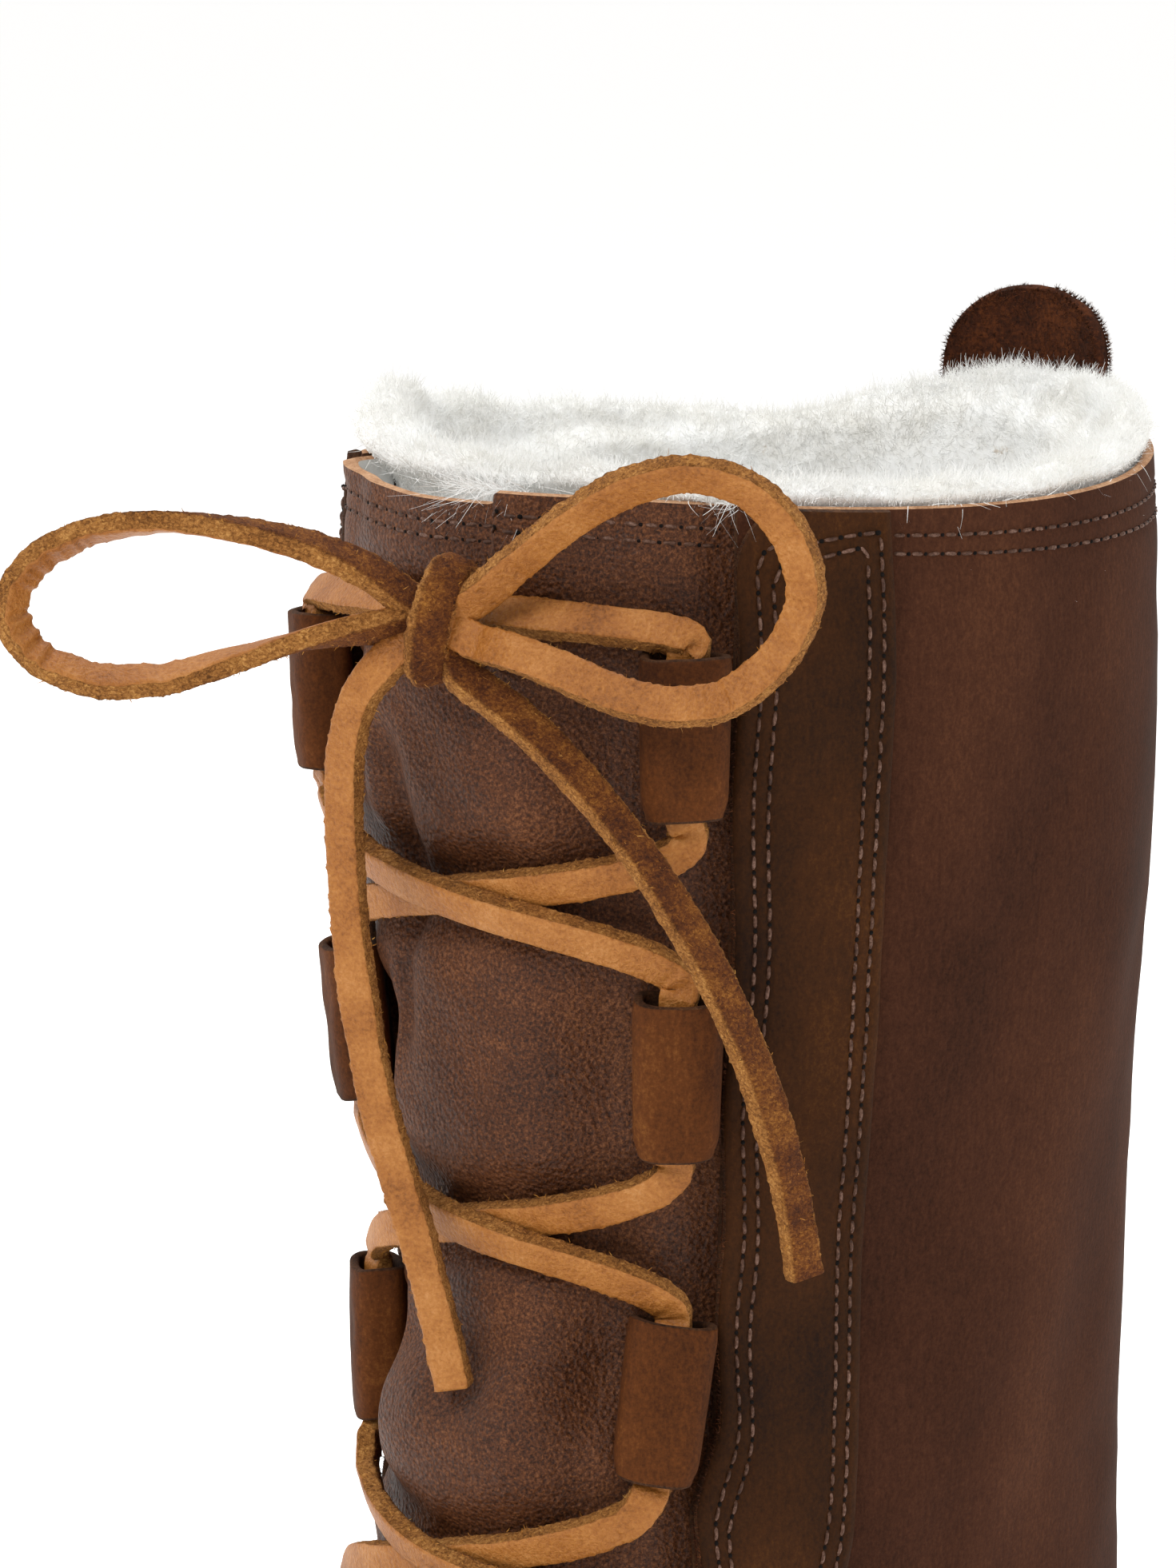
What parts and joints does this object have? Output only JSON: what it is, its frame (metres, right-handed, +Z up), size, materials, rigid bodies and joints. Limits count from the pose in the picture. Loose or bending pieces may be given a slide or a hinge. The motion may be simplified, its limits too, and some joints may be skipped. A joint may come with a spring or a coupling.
{
  "type": "laced shearling moccasin boot",
  "caption": "Tall lace-up moccasin boot with a shearling collar, leather lace tunnels, a tied bow, a back pull tab and a grooved rubber sole.",
  "frame": {"origin": "on the floor under the middle of the sole, at the bottom centre of the boot's box", "axes": "+Z up along the shaft; the toe points along -Y and the heel along +Y; +X is the outer side of this left boot"},
  "size_m": [0.1098, 0.2678, 0.3045],
  "materials": {
    "rubber": "matt black-brown rubber",
    "nubuck": "dark brown waxed nubuck",
    "tongue_leather": "dark brown waxed leather with a soft gloss",
    "strap_leather": "amber brown matt leather",
    "suede": "dark brown suede",
    "lace_leather": "tan grain leather with a rough flesh side",
    "shearling": "cream wool pile"
  },
  "bodies": {
    "root": {"outsole": "rubber", "insole": "shearling", "upper": "nubuck", "apron": "nubuck", "tongue": "tongue_leather", "eyestay_outer": "strap_leather", "eyestay_inner": "strap_leather", "lace_tunnel_outer_1": "strap_leather", "lace_tunnel_outer_2": "strap_leather", "lace_tunnel_outer_3": "strap_leather", "lace_tunnel_outer_4": "strap_leather", "lace_tunnel_inner_1": "strap_leather", "lace_tunnel_inner_2": "strap_leather", "lace_tunnel_inner_3": "strap_leather", "lace_tunnel_inner_4": "strap_leather", "wool_collar": "shearling", "pull_tab": "suede", "lace_top_bar": "lace_leather", "lace_cross_1": "lace_leather", "lace_cross_2": "lace_leather", "lace_cross_3": "lace_leather", "lace_bottom_bar": "lace_leather", "lace_knot": "lace_leather", "bow_loop_inner": "lace_leather", "bow_loop_outer": "lace_leather", "lace_end_inner": "lace_leather", "lace_end_outer": "lace_leather"}
  },
  "joints": []
}
